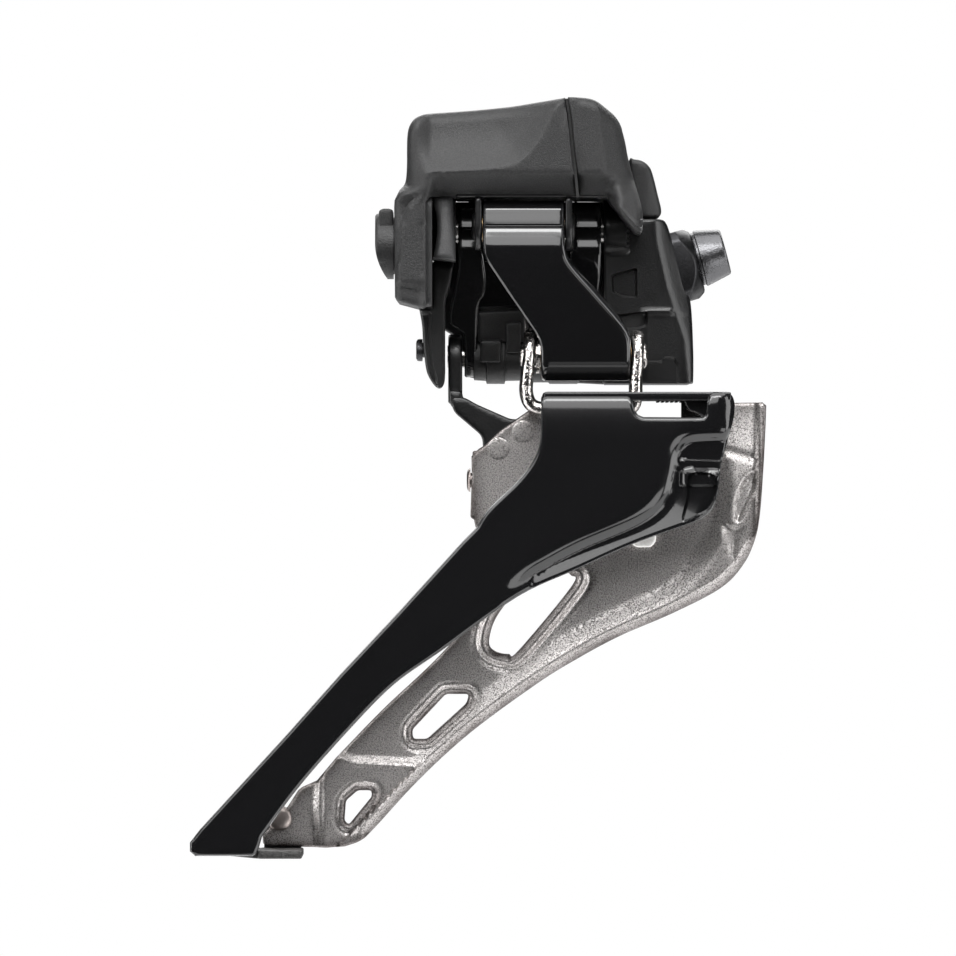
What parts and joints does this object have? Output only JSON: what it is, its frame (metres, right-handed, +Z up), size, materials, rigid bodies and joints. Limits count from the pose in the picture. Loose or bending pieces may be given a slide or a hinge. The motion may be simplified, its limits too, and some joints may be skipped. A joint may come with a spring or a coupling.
{
  "type": "front derailleur",
  "caption": "Motor-driven bicycle front derailleur: a chain cage on a parallelogram linkage under a geared motor unit, with a curved hanger seat, clamp bolt and wire socket.",
  "frame": {"origin": "middle of the curved seat that bears on the frame's hanger, on the clamp bolt's axis", "axes": "+X to the front of the bicycle, +Y inboard to the seat tube, +Z up; the chain side faces -Y"},
  "size_m": [0.0771, 0.0359, 0.1013],
  "materials": {
    "gloss_black": "gloss",
    "satin_black": "satin",
    "grained_plastic": "fine grain",
    "seal_rubber": "matt",
    "socket_plastic": "satin",
    "blasted_aluminium": "coarse blasted",
    "nickel_plate": "polished",
    "dark_steel": "dark satin",
    "pin_steel": "ground",
    "motor_can_steel": "plated",
    "gear_brass": "machined",
    "bush_bronze": "satin",
    "acetal": "satin",
    "board": "lacquered",
    "chip_black": "matt",
    "rivet_steel": "satin",
    "tail_black": "textured",
    "white_nylon": "satin"
  },
  "bodies": {
    "bracket_unit": {"bracket": "satin_black", "rear_arm": "satin_black", "motor_housing": "grained_plastic", "housing_cap": "grained_plastic", "housing_seal": "seal_rubber", "housing_lug": "grained_plastic", "housing_screws": "dark_steel", "gear_case_lid": "grained_plastic", "shaft_seal": "seal_rubber", "port_collar": "grained_plastic", "wire_socket": "socket_plastic", "socket_contacts": "gear_brass", "motor_can": "motor_can_steel", "motor_plate": "pin_steel", "idler_axle": "pin_steel", "circuit_board": "board", "board_chips": "chip_black", "shaft_bushes": "bush_bronze", "upper_outer_pin": "pin_steel", "arm_screw": "dark_steel", "clamp_bolt": "dark_steel", "radius_washer": "dark_steel"},
    "support_screw_body": {"support_screw": "dark_steel"},
    "inner_link_body": {"inner_link": "gloss_black", "drive_shaft": "pin_steel", "output_gear": "gear_brass", "saver_spring": "pin_steel", "inner_link_bushes": "bush_bronze"},
    "outer_link_body": {"outer_link": "gloss_black", "outer_link_bushes": "bush_bronze"},
    "idler": {"idler_gear": "acetal"},
    "motor_rotor": {"motor_shaft": "pin_steel", "motor_pinion": "gear_brass"},
    "cage": {"outer_plate": "gloss_black", "inner_plate": "blasted_aluminium", "pivot_yoke": "nickel_plate", "rear_ear": "satin_black", "lower_outer_pin": "nickel_plate", "lower_inner_pin": "pin_steel", "pin_washers": "nickel_plate", "bridge_rivets": "rivet_steel", "tail_rivet": "rivet_steel", "tail_spacer": "tail_black", "flange_rivet": "rivet_steel", "chain_pad": "white_nylon"}
  },
  "joints": [
    {"name": "inner_link_swing", "type": "hinge", "parent": "bracket_unit", "child": "inner_link_body", "pos_m": [-0.0187, -0.005, 0.0051], "axis": [-1, 0, 0], "range_deg": [0, 32]},
    {"name": "outer_link_swing", "type": "hinge", "parent": "bracket_unit", "child": "outer_link_body", "pos_m": [-0.0196, -0.017, 0.0051], "axis": [-1, 0, 0], "range_deg": [0, 32]},
    {"name": "cage_level", "type": "hinge", "parent": "outer_link_body", "child": "cage", "pos_m": [-0.0113, -0.01334, -0.01212], "axis": [-1, 0, 0], "range_deg": [-32, 0]},
    {"name": "idler_spin", "type": "hinge", "parent": "bracket_unit", "child": "idler", "pos_m": [-0.0325, -0.01, 0.01376], "axis": [-1, 0, 0], "range_deg": [-96, 0]},
    {"name": "motor_spin", "type": "hinge", "parent": "bracket_unit", "child": "motor_rotor", "pos_m": [-0.024, -0.01685, 0.0152], "axis": [-1, 0, 0], "range_deg": [0, 172.8]},
    {"name": "support_screw_drive", "type": "slide", "parent": "bracket_unit", "child": "support_screw_body", "axis": [0, 1, 0], "range_m": [0, 0.003]}
  ],
  "couplings": [
    {"joint": "inner_link_swing", "follows": "outer_link_swing", "ratio": 1},
    {"joint": "cage_level", "follows": "outer_link_swing", "ratio": -1},
    {"joint": "idler_spin", "follows": "outer_link_swing", "ratio": -3},
    {"joint": "motor_spin", "follows": "outer_link_swing", "ratio": 5.4}
  ]
}
